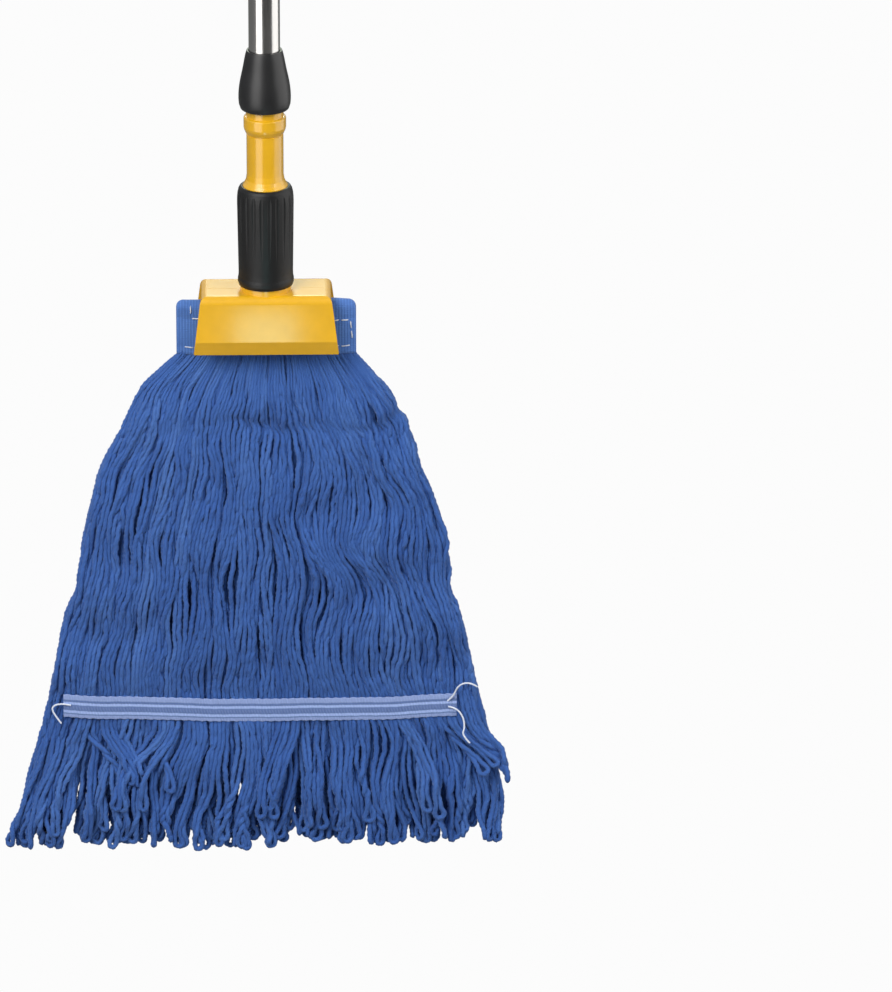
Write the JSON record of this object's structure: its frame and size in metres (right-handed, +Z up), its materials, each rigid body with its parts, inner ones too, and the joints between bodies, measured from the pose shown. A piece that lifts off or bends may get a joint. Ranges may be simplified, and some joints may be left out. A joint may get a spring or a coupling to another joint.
{
  "type": "string mop",
  "caption": "Wet mop with a screwed tubular handle, a screw-down jaw clamp and a looped-end yarn head with a sewn tail band, hung by its grip.",
  "frame": {"origin": "centre of the round top of the hanging eye in the grip, on the handle's axis", "axes": "+Z up along the handle, +X across the jaws, -Y to the front, the side of the moving jaw"},
  "size_m": [0.406, 0.057, 2.0265],
  "materials": {
    "grip_plastic": "satin black, finely textured",
    "tube_steel": "polished stainless",
    "insert_plastic": "moulded",
    "seal_rubber": "soft",
    "coupler_plastic": "gloss black",
    "collar_plastic": "satin black",
    "ring_plastic": "natural",
    "clamp_yellow": "golden yellow",
    "nut_plastic": "satin black",
    "pin_steel": "plain",
    "headband_fabric": "knitted band",
    "yarn_fabric": "twisted cotton yarn",
    "tape_fabric": "striped webbing",
    "thread_white": "sewing thread"
  },
  "bodies": {
    "upper_handle": {"handle_grip": "grip_plastic", "upper_tube": "tube_steel", "upper_tube_stud": "insert_plastic"},
    "upper_seal": {"upper_joint_seal": "seal_rubber"},
    "middle_handle": {"middle_tube": "tube_steel", "middle_tube_socket": "insert_plastic", "upper_coupler": "coupler_plastic", "middle_tube_stud": "insert_plastic"},
    "middle_seal": {"middle_joint_seal": "seal_rubber"},
    "lower_handle": {"lower_tube": "tube_steel", "lower_tube_socket": "insert_plastic", "middle_coupler": "coupler_plastic", "lower_tube_foot": "insert_plastic"},
    "clamp": {"clamp_frame": "clamp_yellow", "jaw_pivot_pin": "pin_steel"},
    "collar_ring": {"compression_ring": "ring_plastic"},
    "collar": {"lock_collar": "collar_plastic"},
    "nut_ring": {"thrust_ring": "ring_plastic"},
    "nut": {"clamp_nut": "nut_plastic"},
    "jaw": {"front_jaw": "clamp_yellow"},
    "mop_head": {"headband": "headband_fabric", "yarn_skirt": "yarn_fabric", "loop_fringe": "yarn_fabric", "front_tail_tape": "tape_fabric", "back_tail_tape": "tape_fabric", "right_lower_thread": "thread_white", "right_upper_thread": "thread_white", "left_thread": "thread_white"}
  },
  "joints": [
    {"name": "upper_screw_travel", "type": "slide", "parent": "upper_handle", "child": "upper_seal", "axis": [0, 0, -1], "range_m": [0, 0.021]},
    {"name": "upper_screw", "type": "hinge", "parent": "upper_seal", "child": "middle_handle", "pos_m": [0, 0, -0.5135], "axis": [0, 0, -1], "range_deg": [0, 2530]},
    {"name": "middle_screw_travel", "type": "slide", "parent": "middle_handle", "child": "middle_seal", "axis": [0, 0, -1], "range_m": [0, 0.021]},
    {"name": "middle_screw", "type": "hinge", "parent": "middle_seal", "child": "lower_handle", "pos_m": [0, 0, -0.9475], "axis": [0, 0, -1], "range_deg": [0, 2530]},
    {"name": "handle_release", "type": "slide", "parent": "lower_handle", "child": "clamp", "axis": [0, 0, -1], "range_m": [0, 0.06]},
    {"name": "collar_travel", "type": "slide", "parent": "clamp", "child": "collar_ring", "axis": [0, 0, 1], "range_m": [0, 0.0061]},
    {"name": "collar_turn", "type": "hinge", "parent": "collar_ring", "child": "collar", "pos_m": [0, 0, -1.3542], "axis": [0, 0, 1], "range_deg": [0, 720]},
    {"name": "nut_travel", "type": "slide", "parent": "clamp", "child": "nut_ring", "axis": [0, 0, 1], "range_m": [0, 0.0151]},
    {"name": "nut_turn", "type": "hinge", "parent": "nut_ring", "child": "nut", "pos_m": [0, 0, -1.4842], "axis": [0, 0, 1], "range_deg": [0, 1080]},
    {"name": "jaw_open", "type": "hinge", "parent": "clamp", "child": "jaw", "pos_m": [0, -0.006, -1.5105], "axis": [-1, 0, 0], "range_deg": [0, 24.1]},
    {"name": "head_release", "type": "slide", "parent": "clamp", "child": "mop_head", "axis": [0, 0, -1], "range_m": [0, 0.08]}
  ],
  "couplings": [
    {"joint": "upper_screw", "follows": "upper_screw_travel", "rad_per_m": 2094.4},
    {"joint": "middle_screw", "follows": "middle_screw_travel", "rad_per_m": 2094.4},
    {"joint": "collar_travel", "follows": "collar_turn", "m_per_rad": 0.00047746},
    {"joint": "nut_travel", "follows": "nut_turn", "m_per_rad": 0.00079577},
    {"joint": "jaw_open", "follows": "nut_turn", "ratio": 0.022222}
  ]
}
